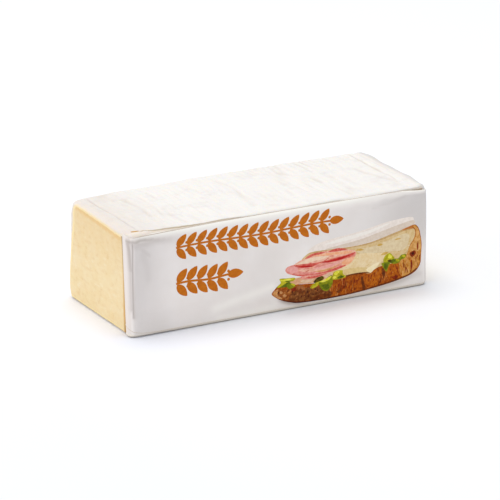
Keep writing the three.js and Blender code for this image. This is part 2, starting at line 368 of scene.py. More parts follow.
def shapeSides(p, out):
    # the same rind down the back, fainter on the front, and the soft unevenness of the cut ends
    sideways = ramp(np.abs(out[:, 1]), 0.5, 0.95)
    waves = sum(wave(p, name) for name in ("ribs", "fineRibs", "sideFolds", "sideDents"))
    onBack = out[:, 1] > 0
    p = p + out * (np.where(onBack, 1, 0.12) * sideways * (waves - 0.2))[:, None]
    endwise = ramp(np.abs(out[:, 0]), 0.6, 0.95)
    smear = sum(wave(p, name) for name in ("knifeSmear", "knifeLines", "curdGrain"))
    for end, line in cheese["joins"]:
        wavy = p[:, 1:] + np.stack([wave(p, "joinWanderY"), wave(p, "joinWanderZ")], 1)
        smear -= 0.3 * nearLine(wavy, line, 0.8) * (p[:, 0] * end > 0)
    # the second value is how hollow the back is, as the share of painted shade there
    return p + out * (endwise * (smear - 0.1))[:, None], np.clip(-1.1 * waves, 0, 0.7) * onBack * sideways


def pasteTop(y):
    # height of the cut paste's upper edge
    return height - cheese["rim"]["top"] + stepped(y, cheese["pasteTop"])


def insidePaste(p):
    # signed distance in mm inside the outline of the cut paste on either end, of the form before it settled
    rim = cheese["rim"]
    fromTop = pasteTop(p[:, 1]) - p[:, 2]
    back = cheeseBack - rim["back"] * ramp(p[:, 2], 2, 26) - rim["backHigh"] * ramp(p[:, 2], 28, 56)
    fromBack = back - p[:, 1]
    bend = rim["bend"]
    corner = bend - np.hypot(np.maximum(bend - fromTop, 0), np.maximum(bend - fromBack, 0))
    inside = np.minimum(np.minimum(fromTop, fromBack), corner)
    return np.minimum(np.minimum(inside, p[:, 2] - rim["foot"]), p[:, 1] - cheeseFront - rim["front"])


def shapeEnds(p, inside):
    # the paste sunk a little inside its rim of rind
    fromFace = halfLength - np.abs(p[:, 0])
    onEnd = ramp(fromFace, bar["endRound"] / 3, 0)
    sunk = cheese["pasteSunk"] * onEnd * ramp(inside, 0, cheese["pasteStep"])
    p = p.copy()
    p[:, 0] -= np.sign(p[:, 0]) * sunk
    return p


def shapeFoot(p):
    # the foot's edge pressed outwards a little by the weight, in front and at the ends
    p = p.copy()
    atFront = ramp(-p[:, 1], -cheeseFront - 2 * bar["sideRound"], -cheeseFront - bar["sideRound"] / 4)
    p[:, 1] -= 0.55 * atFront * ramp(p[:, 2], 0.58 * bar["footRound"], 0.27 * bar["footRound"])
    atEnd = ramp(np.abs(p[:, 0]), halfLength - 2 * bar["endRound"], halfLength)
    p[:, 0] -= np.sign(p[:, 0]) * atEnd * 0.2 * bell(p[:, 2], 0, 3)
    return p


def lines(total, low, high, step):
    # mesh lines over a length: close together in the bands at both sides, even between
    middle = np.linspace(low[-1], total - high[-1], max(2, round((total - low[-1] - high[-1]) / step) + 1))
    return np.concatenate([low[:-1], middle, total - np.array(high[:-1])[::-1]])


def edgeBand(wide, count, *more):
    # lines that cut a rounding into even angles, then any further ones
    return [wide * (1 - math.tan(math.pi / 4 * (1 - i / count))) for i in range(count + 1)] + list(more)


def latticeShell(counts):
    # point numbers and outward faces of a box of counts cells
    size = [c + 1 for c in counts]
    index = np.indices(size)
    onShell = np.zeros(size, bool)
    for axis in range(3):
        onShell |= (index[axis] == 0) | (index[axis] == counts[axis])
    number = np.full(size, -1)
    number[onShell] = np.arange(onShell.sum())
    faces = []
    for axis in range(3):
        for side, turned in ((0, True), (counts[axis], False)):
            flat = np.take(number, side, axis=axis)
            if axis == 1:
                turned = not turned
            quads = np.stack([flat[:-1, :-1], flat[1:, :-1], flat[1:, 1:], flat[:-1, 1:]], -1).reshape(-1, 4)
            faces.append(quads[:, ::-1] if turned else quads)
    return np.argwhere(onShell), np.concatenate(faces)


def buildCheese(material):
    rounds = {
        "end": "endRound", "front": "sideRound", "back": "sideRound", "foot": "footRound", "top": "topRound",
    }
    bands = {side: edgeBand(bar[rounds[side]], *counts) for side, counts in cheese["roundLines"].items()}
    alongX = lines(cheeseLength, bands["end"], bands["end"], cheese["stepX"])
    alongY = lines(cheeseWidth, bands["front"], bands["back"], cheese["stepY"])
    alongZ = lines(height, bands["foot"], bands["top"], cheese["stepZ"])
    where, faces = latticeShell([len(alongX) - 1, len(alongY) - 1, len(alongZ) - 1])
    i, j, k = where.T
    box = np.stack([alongX[i] - halfLength, alongY[j] - halfWidth, alongZ[k]], 1)
    # distance back from the sharp front top edge, negative down the front
    fromEdge = np.where(box[:, 2] >= height - 1e-6, box[:, 1] + halfWidth, box[:, 2] - height)
    placed, out = roundOff(box, 0)
    inside = insidePaste(placed)
    placed = settle(placed)
    shaped, hollow = shapeTop(placed)
    shaped, hollowShadeBack = shapeSides(shaped, out)
    shaped = shapeFoot(shapeEnds(shaped, inside))
    # the step down from the rind's lip to the strip that the label's hem lies on
    lip = stepped(box[:, 0], cheese["lipPlace"])
    onStrip = ramp(fromEdge, lip + 0.15, lip - 0.2) * ramp(fromEdge, -4, -3)
    beforeEnd = ramp(np.abs(out[:, 0]), 0.5, 0.15) * (box[:, 1] < 0)
    shaped -= out * (onStrip * stepped(box[:, 0], cheese["gape"]) * beforeEnd)[:, None]
    # the foot's edge stands a little off the ground in front and at the ends
    shaped[:, 2] = np.where(box[:, 2] <= 0, 0, np.maximum(shaped[:, 2], 0))
    lift = np.maximum(ramp(shaped[:, 1], cheeseFront + 3.2, cheeseFront + 1),
                      0.8 * ramp(np.abs(shaped[:, 0]), halfLength - 3.4, halfLength - 0.8))
    shaped[:, 2] += cheese["footLift"] * lift * ramp(shaped[:, 2], 2.6, 0)
    # fields for the shader, most of them distances in mm
    x, y, z = placed.T
    # painted shadow line under the lip; at the right it becomes painted shadow in the gap above the drooping
    # film
    lineShare = stepped(x, cheese["lineShare"])
    lineShare += ramp(x, 72, 86) * (0.8 * ramp(fromEdge + hemDrop(box[:, 0]), 2.8, 0.2) - lineShare)
    fromFace = halfLength - np.abs(x)
    fromFilm = y - cheeseFront - returnWidth(z)
    onLip = (beforeEnd > 0.3) & (fromEdge > -4)
    fields = {
        "insidePaste": np.minimum(inside, (1.9 - fromFace) * 2),
        "fromLip": np.clip(np.where(onLip, (fromEdge - lip) / stepped(x, cheese["lineWidth"]), 9), -9, 9),
        "lineShare": lineShare,
        # share of painted shade in the rind's folds and hollows
        "hollow": np.maximum(hollow, hollowShadeBack),
        "fromEnd": fromFace,
        # from 2 mm behind the film's edge, because the film hides what is nearer
        "besideFilm": (fromFilm - 2.0) / (1.9 + 1.5 * ramp(z, 45, 5)),
        "belowTop": pasteTop(y) - z - 2,
    }
    return makeMesh("brie_bar", shaped, faces.tolist(), [material], fields=fields)


def bloomyRind():
    # Bloomy rind, grown as white mould on a drained curd: a dull, slightly velvety white, with painted shade
    # in its hollows. The cut paste is a smooth pale yellow, a little waxy, with light passing into it.
    material, add = newMaterial("bloomyRindAndCutPaste")
    place = add("TexCoord", output="Object")
    value = {axis: add("SeparateXYZ", None, {0: place}, axis.upper()) for axis in "xz"}
    for name in ("insidePaste", "fromLip", "lineShare", "hollow", "fromEnd", "besideFilm", "belowTop"):
        value[name] = add("Attribute", {"attribute_name": name}, output="Fac")
    for name, (across, detail, rough, drawn) in cheese["patterns"].items():
        vector = add("Mapping", None, {"Vector": place, "Scale": (1.0, 1 / drawn, 1.0)})
        value[name] = add("TexNoise", None, {
            "Vector": vector, "Scale": 1 / (across * mm), "Detail": detail, "Roughness": rough}, "Fac")
    # distance into the paste, made ragged by 1 mm, and below its upper edge, by 4 mm
    for name, field, most in (("intoPaste", "insidePaste", 1.1), ("belowRind", "belowTop", 4.0)):
        terms = {0: value["ragged"], 1: most, 2: value[field]}
        value[name] = add("Math", {"operation": "MULTIPLY_ADD"}, terms)
    # 0 at the foot and 1 at the top
    value["up"] = add("Math", {"operation": "MULTIPLY"}, {0: value["z"], 1: 1000 / height})
    colour = {name: linear(code) for name, code in cheese["colours"].items()}
    for name, (steer, *stops) in cheese["ramps"].items():
        colour[name] = add("ValToRGB", {"stops": stops}, {"Fac": value[steer]})
    for low, high, end in cheese["lineEnds"]:
        share = add("MapRange", None, {"Value": value["x"], "From Min": low, "From Max": high})
        colour["lipShadowLine"] = add("MixRGB", None, {
            "Fac": share, "Color1": colour["lipShadowLine"], "Color2": colour[end]})
    shares = {}
    for below, steer, low, high, most, above in cheese["layers"]:
        shares[above] = add("MapRange", {"interpolation_type": "SMOOTHSTEP"}, {
            "Value": value[steer], "From Min": low, "From Max": high, "To Max": value.get(most, most)})
        colour[below] = add("MixRGB", None, {
            "Fac": shares[above], "Color1": colour[below], "Color2": colour[above]})
    # velvet of the mould, 0.35 mm, drawn twice as coarse so that it shows
    strength, roughness = (
        add("MapRange", None, {"Value": shares["paste"], "To Min": onRind, "To Max": onPaste})
        for onRind, onPaste in (cheese["bump"], cheese["roughness"]))
    bump = add("Bump", None, {
        "Strength": strength, "Distance": cheese["bumpHeight"] * mm, "Height": value["velvet"]})
    shader = add("BsdfPrincipled", None, {
        "Base Color": colour["rind"], "Roughness": roughness, "Normal": bump, "IOR": cheese["ior"],
        "Subsurface Weight": 0.2, "Subsurface Radius": cheese["lightInside"], "Subsurface Scale": mm,
    })
    add("OutputMaterial", None, {"Surface": shader})
    return material


brieBar = buildCheese(bloomyRind())
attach(brieBar, "root")
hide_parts("brie")
print("cheese made:", len(brieBar.data.polygons), "faces")


label = {
    "step": 1.25, "stepPicture": 1.0, "stepEdge": 0.5, "stepFold": 0.25,  # mesh spacing
    # pulls of the film: height, reach and the x, z places that each runs through, x from the bar's left end
    "pulls": (
        (-0.30, 0.45, ((2.4, 60), (2.1, 40), (2.2, 14))),
        (0.34, 0.75, ((3.9, 61), (3.6, 40), (3.5, 12))),
        (0.30, 1.6, ((2.5, 7.5), (6, 10.5), (9.5, 14.5))),
        (0.40, 1.5, ((78, 8.5), (88, 10.5), (96, 13))),
        (0.30, 2.6, ((57, 10), (75, 15), (96, 20))),
        (0.50, 2.4, ((-3, 60), (60, 60.4), (150, 59.6), (176, 58.6), (188, 61), (198, 61))),
        (0.30, 1.1, ((168, 58), (178, 59.6), (190, 61.6), (196, 62))),
        (0.25, 2.2, ((150, 38), (175, 46), (200, 50))),
        (0.16, 1.2, ((164, 60), (164, 48))),
        (0.35, 0.8, ((178, 65), (188, 64), (196, 62.7), (203, 62), (210, 61.8))),
        (0.25, 2.4, ((14, 56), (15, 44), (17, 34))),
        (0.30, 0.9, ((1, 62), (5, 60), (11, 56.5))),
        (-0.22, 0.8, ((0.5, 60.5), (4.5, 57.6), (10, 53))),
        (0.22, 2.0, ((120, 60), (118, 40), (110, 22))),
    ),
    "shades": (  # painted shade in the film's folds and under its hem: share, reach and places as above
        (0.46, 0.95, ((2.0, 61), (1.95, 45), (2.25, 30), (2.6, 13))),
        (0.48, 0.45, ((2.2, 58), (2.1, 45), (2.4, 30), (2.7, 14))),
        # painted shade under the hem, fading to the right
        (0.50, 1.3, ((-3, 61.3), (3.6, 60.8), (7, 61.6), (11, 61.5))), (0.43, 1.6, ((11, 61.2), (15, 61))),
        (0.35, 2.0, ((15, 60.6), (19, 60.3))), (0.27, 2.4, ((19, 60), (23, 59.8))),
        (0.20, 2.8, ((23, 59.6), (27, 59.4))), (0.13, 3.2, ((27, 59.3), (31, 59.2))),
        (0.07, 3.4, ((31, 59.1), (35, 59))),
        (0.24, 3.0, ((-1, 59), (8, 59.4), (16, 60.4))),
        (0.45, 2.0, ((-1.8, 61), (-0.6, 52), (0.5, 43))),
        (0.30, 1.7, ((0.2, 43), (0.5, 30), (0.9, 18))),
        (0.16, 1.2, ((2, 60.6), (7, 57), (13, 51))),
        (0.10, 2.4, ((9, 52), (12, 44), (12.5, 36))),
        (0.10, 1.0, ((168, 57), (180, 58.4), (190, 61))),
    ),
    "gleams": (  # where its folds catch the light
        (0.55, 3.2, ((58, 9.5), (75, 13), (97, 17))),
        (0.35, 2.2, ((60, 3.4), (95, 3.8), (98, 4))),
        (0.30, 4.5, ((126, 22), (132, 24), (140, 24))),
    ),
    "slackWaves": ((0.17, (26, 19, 9), 41), (0.08, (9, 13, 9), 42)),  # height, cell along x, z and y, seed
    # height of the foot of the band of painted highlight along the top, along x
    "bandFoot": (59.8, (1.6, 165, 178), (0.6, 181, 191), (-0.8, 195, 203)),
    # how much painted shade greys the film: everywhere, at the left, low by the left, at the right, in soft
    # clouds and on its right edge's rounding
    "greyer": {"all": 0.14, "left": 0.32, "lowLeft": 0.12, "right": 0.6, "clouds": 0.12, "rightEdgeShade": 0.75},
    "printShadow": ((170, 3.2), (188, 5.4), (202, 8.4)),  # x, z of its run under the picture's right half
    # the two printed sprigs: first and last x, height and size
    "sprigs": ((31, 147, 53, 1.0), (31, 77, 30, 1.1)), "leafLength": 9.6, "leafWidth": 4.9, "leafEvery": 6.9,
    "film": "F0E8E2", "filmPale": "F5EEE9",  # its own white, in soft clouds
    # laid over the film in turn by the fields of the same names: warm, hem, painted highlight, painted shade,
    # the picture's printed shadow, and painted shade in folds and at the foot
    "tints": {
        "warm": "E7DED7", "hem": "EFE6D8", "top": "FFFBF3",
        "tone": "C8C2BF", "shadow": "8A776A", "fold": "87796E",
    },
    # patterns of the film and its ink: mm across, detail and roughness
    "patterns": {
        "cloud": (18, 3, 0.5), "slack": (5, 2, 0.5), "orangePeel": (0.6, 1, 0.5), "mottle": (1.9, 4, 0.65),
    },
    "bump": 0.35, "bumpHeight": 0.25, "peelShare": 0.05,  # mm, and the orange-peel's share of it
    "roughness": (0.30, 0.42), "specular": {"film": 0.2, "ink": 0.1}, "ior": 1.5,
}


def filmRelief(s, v):
    # how the film stands off the cheese: the pressed fold by the left edge, pulls towards the corners and
    # soft waves
    x = s + bar["length"] / 2
    relief = np.zeros(len(s))
    for high, wide, line in label["pulls"]:
        relief += high * nearLine(np.stack([x, v], 1), line, wide)
    for high, cell, seed in label["slackWaves"]:
        relief += high * (1 + softNoise(np.stack([s, v, 0 * s], 1), cell, seed)) * ramp(x, 5, 20)
    return np.clip(relief * ramp(v, 1, 3) * ramp(v, height - 0.5, height - 3), -0.22, 1.2)


def placeFilm(s, v, skin):
    # from the flat label to its place round the bar; skin 0 is its inner face and 1 its outer one
    back = np.maximum(np.abs(s) - halfLength, 0) - halfWidth
    box = np.stack([np.clip(s, -halfLength, halfLength), back, v], 1)
    grow = bar["filmGap"] + skin * bar["filmThickness"] + filmRelief(s, v)
    placed, _ = roundOff(box, grow)
    return settle(placed)


# print: closed outlines in mm on the flat label, x from the bar's left end and z up, drawn one over another

def smoothLoop(points, every=0.7):
    # a closed curve through the points
    p = np.array(points, float)
    before, after, beyond = np.roll(p, 1, 0), np.roll(p, -1, 0), np.roll(p, -2, 0)
    curve = []
    for a, b, c, d in zip(before, p, after, beyond):
        for t in np.linspace(0, 1, max(2, int(np.linalg.norm(c - b) / every) + 1), endpoint=False):
            bend, twist = 2 * a - 5 * b + 4 * c - d, 3 * b - a - 3 * c + d
            curve.append(0.5 * (2 * b + (c - a) * t + bend * t ** 2 + twist * t ** 3))
    return np.array(curve)


def strokeOutline(points, wide, every=1.5):
    # a line of some width through the points; wide has one width for each point
    p = np.array(points, float)
    along = np.concatenate([[0], np.cumsum(np.linalg.norm(np.diff(p, axis=0), axis=1))])
    t = np.linspace(0, along[-1], max(3, int(along[-1] / every)))
    middle = np.stack([np.interp(t, along, p[:, 0]), np.interp(t, along, p[:, 1])], 1)
    half = np.interp(t, along, wide) / 2
    side = np.gradient(middle, axis=0)
    side = np.stack([-side[:, 1], side[:, 0]], 1) / np.linalg.norm(side, axis=1, keepdims=True)
    side *= half[:, None]
    return np.concatenate([middle - side, (middle + side)[::-1]])


def turned(points, angle):
    # flat points turned about 0, 0
    return points @ np.array([[math.cos(angle), math.sin(angle)], [-math.sin(angle), math.cos(angle)]])


def leafOutline(x, z, angle, long, wide):
    # a pointed leaf that starts at x, z
    t = np.linspace(0, 1, 12)
    half = wide / 2 * np.sin(math.pi * t ** 0.85) ** 0.75
    loop = np.concatenate([np.stack([t * long, half], 1), np.stack([t * long, -half], 1)[-2:0:-1]])
    return turned(loop, angle) + [x, z]


def discOutline(x, z, radius):
    t = np.linspace(0, 2 * math.pi, 14, endpoint=False)
    return np.stack([x + radius * np.cos(t), z + radius * np.sin(t)], 1)


def sprig(x0, x1, z, size):
    # a traditional leafy sprig: a stem, leaves in pairs, berries between them and one leaf at the tip
    long, wide, every = label["leafLength"] * size, label["leafWidth"] * size, label["leafEvery"] * size
    tip = x1 - long * 1.05

    def sway(x):
        return 0.5 * np.sin((x - x0) / (x1 - x0) * 3 * math.pi)

    xs = np.linspace(x0, tip + 1, 24)
    shapes = [strokeOutline(list(zip(xs, z + sway(xs))), [1.3 * size] * 24)]
    count = round((tip - x0) / every)
    for i in range(count):
        x = x0 + 0.6 + (tip - x0) * i / count
        for side in (1, -1):
            angle = side * math.radians(50)
            shapes.append(leafOutline(x, z + sway(x) + side * 0.7 * size, angle, long, wide))
            shapes.append(discOutline(x + every * 0.95, z + sway(x) + side * 2.4 * size, 0.9 * size))
    shapes.append(leafOutline(tip, z + sway(tip), 0, long * 1.05, wide * 1.1))
    return shapes


# an open sandwich from simple fields of colour, back to front, each with its ink
picture = (
    ("band", (122.4, 35.4), (125, 38.4), (131, 40.4), (140, 41.6), (152, 42.4), (164, 44), (176, 46),
     (187, 46.8), (195.6, 46.6), (197.4, 44.4), (197.4, 41), (186, 38.6), (172, 36), (158, 34.2),
     (140, 34.4)),
    ("bandShade", (134, 35.2), (146, 36.6), (160, 38), (174, 40.6), (186, 43), (196.4, 44.4), (197, 41.4),
     (186, 38.8), (172, 36), (156, 34.4)),
    ("bandLight", (134, 38.6), (146, 40.8), (158, 42), (168, 43.4), (180, 45.2), (170, 41.8), (158, 39.8),
     (146, 38.4)),
    ("crumb", (117, 29), (121, 34), (126, 35.2), (138, 34.8), (152, 34.2), (164, 34.6), (174, 36.2),
     (185, 38.6), (193, 40.4), (197.6, 41.2), (200.4, 37), (201, 30), (199, 23), (190, 20), (176, 17),
     (160, 14), (140, 13), (122, 17)),
    ("crumbLight", (157, 31.4), (168, 31.8), (180, 34.2), (190, 36.4), (194, 35), (193, 29), (189, 26),
     (182, 26.4), (172, 27), (160, 28)),
    ("crustLine", (121.6, 33.8), (126, 35.2), (138, 34.7), (152, 34.2), (164, 34.6), (174, 36.2),
     (185, 38.6), (193, 40.4), (197.4, 41.2), (196.4, 38.8), (190, 38.2), (184, 37), (174, 35), (164, 33.5),
     (152, 33.3), (138, 33.8), (126, 34.2)),
    ("crustPale", (189, 39.4), (193, 40.5), (197.6, 41.2), (197, 39), (193, 39.2), (190, 38.6)),
    ("crumbTan", (171, 32), (173.6, 32.8), (175.2, 32), (173, 31.2)),
    ("crumbTan", (155.6, 31.2), (158.8, 31.8), (161.6, 30.6), (158.4, 30.4)),
    ("crumbTan", (183.6, 33.6), (186, 34.4), (188, 33.8), (185.6, 33.2)),
    ("crumbTan", (162.4, 24.4), (164, 24.9), (165.2, 24.2), (163.8, 23.8)),
    ("slice", (143, 22), (150, 27), (160, 28.4), (170, 27), (177, 26), (178, 22.6), (173, 20), (169, 15.8),
     (160, 15.6), (150, 16)),
    ("sliceFront", (147, 19.6), (155, 20), (163.6, 18.6), (168, 15.4), (166.4, 14.4), (158, 15.2),
     (149, 15.6)),
    ("sliceLight", (163.6, 17.6), (169.4, 20.2), (172.6, 20.6), (170.6, 18), (167.4, 14.5), (165, 15.6)),
    ("crust", (96.5, 12.5), (98.6, 14.8), (101, 16.8), (104.6, 16), (108.6, 15.6), (113, 16), (118, 15.4),
     (124, 14.8), (130, 14.2), (136, 14.2), (142, 15), (149, 15.4), (154, 15.6), (160, 15.4), (166, 14.6),
     (169, 16.4), (173, 17.8), (178, 18.2), (184, 18.8), (189, 20.6), (192.4, 23), (193.6, 26), (195, 29),
     (197, 31.6), (198.2, 34.4), (198.2, 37.4), (196.6, 39.4), (196.6, 41), (198.4, 41.2), (200.6, 38.8),
     (202, 34.4), (203, 28), (202.8, 21), (202.4, 15.6), (199.8, 11.4), (195.4, 8.9), (189, 7.2),
     (181, 5.8), (171, 4.6), (160, 3.6), (149, 3), (138, 2.8), (127, 3), (117, 3.6), (109, 5.1), (103, 7.4),
     (99, 10)),
    ("heel", (98.4, 12), (101.6, 14.6), (106, 13.6), (112, 14), (120, 13), (130, 12), (137, 9), (138.4, 4),
     (127, 3.4), (117, 4), (109, 5.5), (103, 8)),
    ("heelDark", (108.6, 7), (110, 10.4), (114, 11.6), (120, 12.4), (128, 12), (135, 10), (138, 7),
     (138, 4.2), (127, 3.4), (117, 4), (111, 5.2)),
    ("crustTip", (97.2, 12.4), (99.2, 14.2), (101.4, 14.8), (100.6, 12.8), (101.2, 10.8), (103.4, 9.2),
     (104, 7.4), (100.8, 9.2)),
    ("crustTip", (102.2, 12.8), (103.6, 13.4), (104.4, 12), (103, 11.4)),
    ("crustTip", (104.4, 10.2), (106, 10.8), (106.6, 9.4), (105.2, 8.8)),
    ("flank", (186.6, 18.6), (189, 20.4), (192.4, 22.8), (193.8, 26), (195.4, 29), (197.4, 31.6),
     (198.6, 34.4), (198.6, 37.4), (197, 39.6), (197, 40.8), (198.2, 40.9), (200.2, 38.6), (201.6, 34.4),
     (202.6, 28), (202.4, 21), (202, 15.8), (199.5, 11.9), (195.2, 9.6), (190, 8.3), (187, 12)),
    ("flankPale", (194.8, 26.4), (196, 29), (198, 31.6), (199.2, 34.4), (199, 37.6), (198.4, 40),
     (200.2, 38.4), (201.4, 34.4), (202.2, 29), (202, 24.6), (199, 23.4), (196.4, 24.4)),
    ("crustRed", (110, 14.6), (112, 15), (113.6, 13), (112.4, 11.6), (110.6, 12.6)),
    ("crustMauve", (114, 14.6), (118, 14.6), (120, 12), (117, 10.8)),
    ("crustDark", (115.4, 10), (116.2, 12.6), (117.6, 12.2), (117.4, 9.6)),
    ("crustLight", (98, 12.4), (99.6, 13.4), (101, 12.6), (99.4, 11.4)),
    ("crustDark", (159.6, 12.6), (160.8, 13.6), (162, 9), (163.2, 5), (161.2, 4.8), (160.4, 8)),
    ("crustGold", (163.6, 14), (167, 14.4), (170, 16), (173.6, 16.8), (173.4, 11.6), (170.6, 7.4),
     (165, 6.8), (163.4, 10)),
    ("crustGold", (178, 17.4), (182, 17.8), (186, 18.6), (187, 14), (184.6, 10.8), (180, 10), (177.6, 13)),
    ("crustDark", (174.6, 15.6), (175.8, 16.4), (177, 12.6), (176.2, 9.4), (175, 11.6)),
    ("crustRed", (182, 9), (184, 10), (186.4, 9.2), (184, 7.6)),
    ("crustRed", (195.2, 17), (196.2, 18.6), (196.4, 14), (195.4, 11)),
    ("crustRed", (199.6, 27), (200.4, 30), (200.8, 26), (200.2, 24)),
    ("crustDark", (142.6, 6.2), (144, 7.6), (145.4, 6.6), (144.2, 5.2)),
    ("crustDark", (126, 5.6), (132, 6.6), (138, 5.4), (134, 4.2), (128, 4.4)),
    ("crustRed", (194.4, 23), (197.8, 24.4), (199, 22.4), (196.2, 20.2)),
    ("crustBlack", (195.8, 23), (197.6, 23.6), (197.6, 22), (196.2, 21.6)),
    ("crustDark", (101, 8.8), (109, 6.1), (117, 4.6), (127, 4), (138, 3.8), (149, 4), (160, 4.7),
     (171, 5.7), (181, 6.9), (189, 8.3), (195, 10), (199.4, 12.6), (200, 11.8), (195.4, 8.9), (189, 7.2),
     (181, 5.8), (171, 4.6), (160, 3.6), (149, 3), (138, 2.8), (127, 3), (117, 3.6), (109, 5.1),
     (103, 7.4)),
    ("crustBlack", (106, 6.4), (113, 4.7), (121, 3.8), (130, 3.4), (138, 3.4), (146, 3.4), (138, 2.8),
     (130, 2.9), (121, 3.2), (113, 4)),
    ("crustDark", (148.4, 15.9), (155, 16.3), (162.4, 15.9), (166, 15), (162.2, 15), (155, 15.3),
     (148.6, 15.1)),
    ("cream", (109.6, 19.2), (113, 20), (118, 20), (128, 19.6), (136, 20.6), (140.6, 19.4), (139, 16.4),
     (132, 15), (124, 15), (117, 15.8), (113, 15.8), (110.2, 16.6)),
    ("creamLight", (133, 19), (137, 20), (139.6, 18.8), (138, 17), (134.6, 16.8)),
    ("creamLight", (117, 17.6), (121, 18.2), (126, 17.4), (124, 16), (119, 16)),
    ("leafDark", (126, 15.4), (128.6, 17.8), (132, 18.4), (133.4, 16.6), (131, 15), (128, 14.4)),
    ("hamPale", (111, 28), (115, 30.4), (120, 31.8), (124, 33.8), (131, 34.3), (139, 34.2), (145, 34.4),
     (150, 32.8), (155.4, 31), (154.6, 28.6), (146, 28), (130, 27.6), (118, 27.4)),
    ("hamCream", (113.6, 28.8), (118, 30.2), (124, 31.4), (131, 31.4), (137, 30.6), (132, 29.4),
     (124, 28.8), (118, 28.2)),
    ("hamRed", (120, 31.6), (123.4, 33.6), (129, 34.2), (134, 33.6), (131, 32.8), (126, 32.6), (123, 31.6)),
    ("hamRed", (136, 33.4), (140, 34.5), (144, 34.6), (149.6, 33), (146, 32.6), (140, 32.8)),
    ("hamPeach", (127, 32.4), (134, 32.8), (142, 32.4), (149, 31.8), (153.4, 30.6), (148, 30), (140, 30.8),
     (133, 31.4)),
    ("ham", (106.2, 26), (107.4, 28), (111, 28.8), (116, 28.4), (126, 27.6), (138, 28.2), (148, 29.2),
     (155.4, 30.2), (155.4, 27.6), (151, 24.6), (146, 22.6), (140, 21.2), (133, 20.4), (126, 20.4),
     (118, 21), (112, 22.4), (108, 23.8)),
    ("hamPink", (107.4, 26), (108.6, 27.8), (112.6, 28), (114.6, 26.6), (115, 24.6), (112.6, 23.6),
     (109.6, 24.2)),
    ("hamPale", (116, 25), (124, 24.4), (133, 24.8), (142, 25.8), (151, 27.6), (146, 24.8), (138, 22.8),
     (129, 22.2), (120, 22.8)),
    ("hamPink", (126, 24.2), (133, 24.6), (141, 25.4), (147, 26.6), (142, 24.4), (134, 23.2)),
    ("hamPeach", (146, 24.8), (151, 27), (155, 27.2), (153, 24.2), (147.6, 22)),
    ("crustLight", (127, 22), (134, 22.3), (140, 22.9), (144, 23.8), (139, 21.9), (132, 21.3)),
    ("hamRed", (112, 28.6), (118, 28.4), (126, 27.8), (134, 28), (142, 28.8), (150, 29.4), (155.6, 30.2),
     (152, 27.6), (144, 26.6), (137, 26.4), (131, 27), (125, 25.6), (119, 26), (114.6, 27)),
    ("hamDeep", (132, 27.2), (138, 27.7), (148, 28.8), (153, 29), (145, 27), (138, 26.6)),
    ("hamDeep", (114.6, 27.2), (119.6, 27.2), (125.4, 25.9), (121, 25.7), (117, 26.2)),
    ("hamRed", (109, 23.4), (116, 21.8), (126, 20.8), (136, 21.2), (147, 23), (148.6, 22.4), (142, 20.6),
     (134, 19.8), (125, 19.8), (117, 20.6)),
    ("ham", (117, 20.2), (122, 20.6), (130, 20), (137, 20.2), (134, 18.8), (127, 18), (121, 18),
     (117.6, 18.8)),
    ("hamRed", (121, 19.4), (128, 19.2), (135, 19.8), (129, 18.2), (123, 18.2)),
    ("leafDeep", (101.6, 16.2), (104, 18.8), (108, 19), (110, 17), (107, 15.4), (103, 15.6)),
    ("leafPale", (102.2, 21.3), (107, 21), (113, 20.4), (112, 18.6), (107.6, 18.2), (103.6, 16.4),
     (100.8, 15.6), (100.6, 16.8), (103, 18.6)),
    ("leafBright", (102.6, 20.2), (106, 20.6), (111.6, 20.2), (110, 19.4), (105, 19.4)),
    ("leafDeep", (106, 19.2), (108, 19.4), (110.6, 18.9), (108, 18.4)),
    ("leaf", (107, 16.6), (109.4, 17.4), (112, 16.8), (113.4, 15.2), (111, 14), (108.6, 13.8)),
    ("leafPale", (110, 16.9), (111.8, 16.9), (113, 15.4), (111.4, 15.4)),
    ("leafPale", (123.8, 12), (126, 14.2), (130.4, 15), (129.4, 12.8), (126, 11.4)),
    ("leaf", (129.8, 14.6), (134, 15.8), (138.8, 17.8), (139.8, 14), (138.6, 10.6), (136.4, 8.3),
     (133.6, 8.5), (131.2, 10.6)),
    ("leafDeep", (132.2, 12), (135, 12.6), (137.4, 11.4), (136.6, 9.2), (134, 9)),
    ("leafBright", (130, 14.9), (134.4, 16), (138.6, 17.4), (137.4, 15.4), (133.6, 14.2)),
    ("leafPale", (139.4, 15.2), (140, 19), (142.4, 20), (146.4, 19.8), (146.8, 17.4), (149, 15.2),
     (145, 14.4), (141.4, 14.4)),
    ("leafBright", (140.4, 18.4), (141.8, 19.7), (144.4, 19.6), (143.4, 18), (141.4, 17.4)),
    ("leafBright", (139.8, 15.8), (140.6, 17), (142, 16.2), (141, 15)),
    ("leafDeep", (142.8, 15.6), (145.4, 16.6), (147.8, 15.2), (144, 14.6)),
    ("leafPale", (175.8, 20), (176.2, 23.6), (179.6, 25.6), (182.4, 23.4), (183.6, 21), (180.8, 19.6)),
    ("leafBright", (178.8, 22.6), (179.8, 24.8), (181.6, 23.4), (181.2, 22)),
    ("leaf", (174.2, 19.6), (177.6, 20.2), (180.6, 19.4), (179, 16.4), (178, 13.6), (176.4, 15.4),
     (175, 17.6)),
    ("leafDeep", (175.8, 18.8), (178.4, 19), (178.6, 15.8), (177, 15.2)),
    ("leaf", (180, 20.6), (184, 21.2), (188, 20.2), (186.6, 18.2), (182.6, 18)),
    ("leafDeep", (180, 19.8), (182.6, 21), (184.2, 19.6), (181.6, 18.6)),
    ("leafPale", (184.4, 20.6), (186.4, 20.6), (187.2, 19.4), (185.4, 19)),
    ("leafDark", (178.4, 20.8), (180.6, 21.2), (181.4, 20), (180, 19.5)),
    ("leaf", (186.2, 20.6), (188.4, 22.9), (191.8, 22.9), (191, 20.6), (188, 20)),
    ("leafPale", (188.6, 22.2), (190.6, 22.7), (191.4, 21.4), (190, 21.2)),
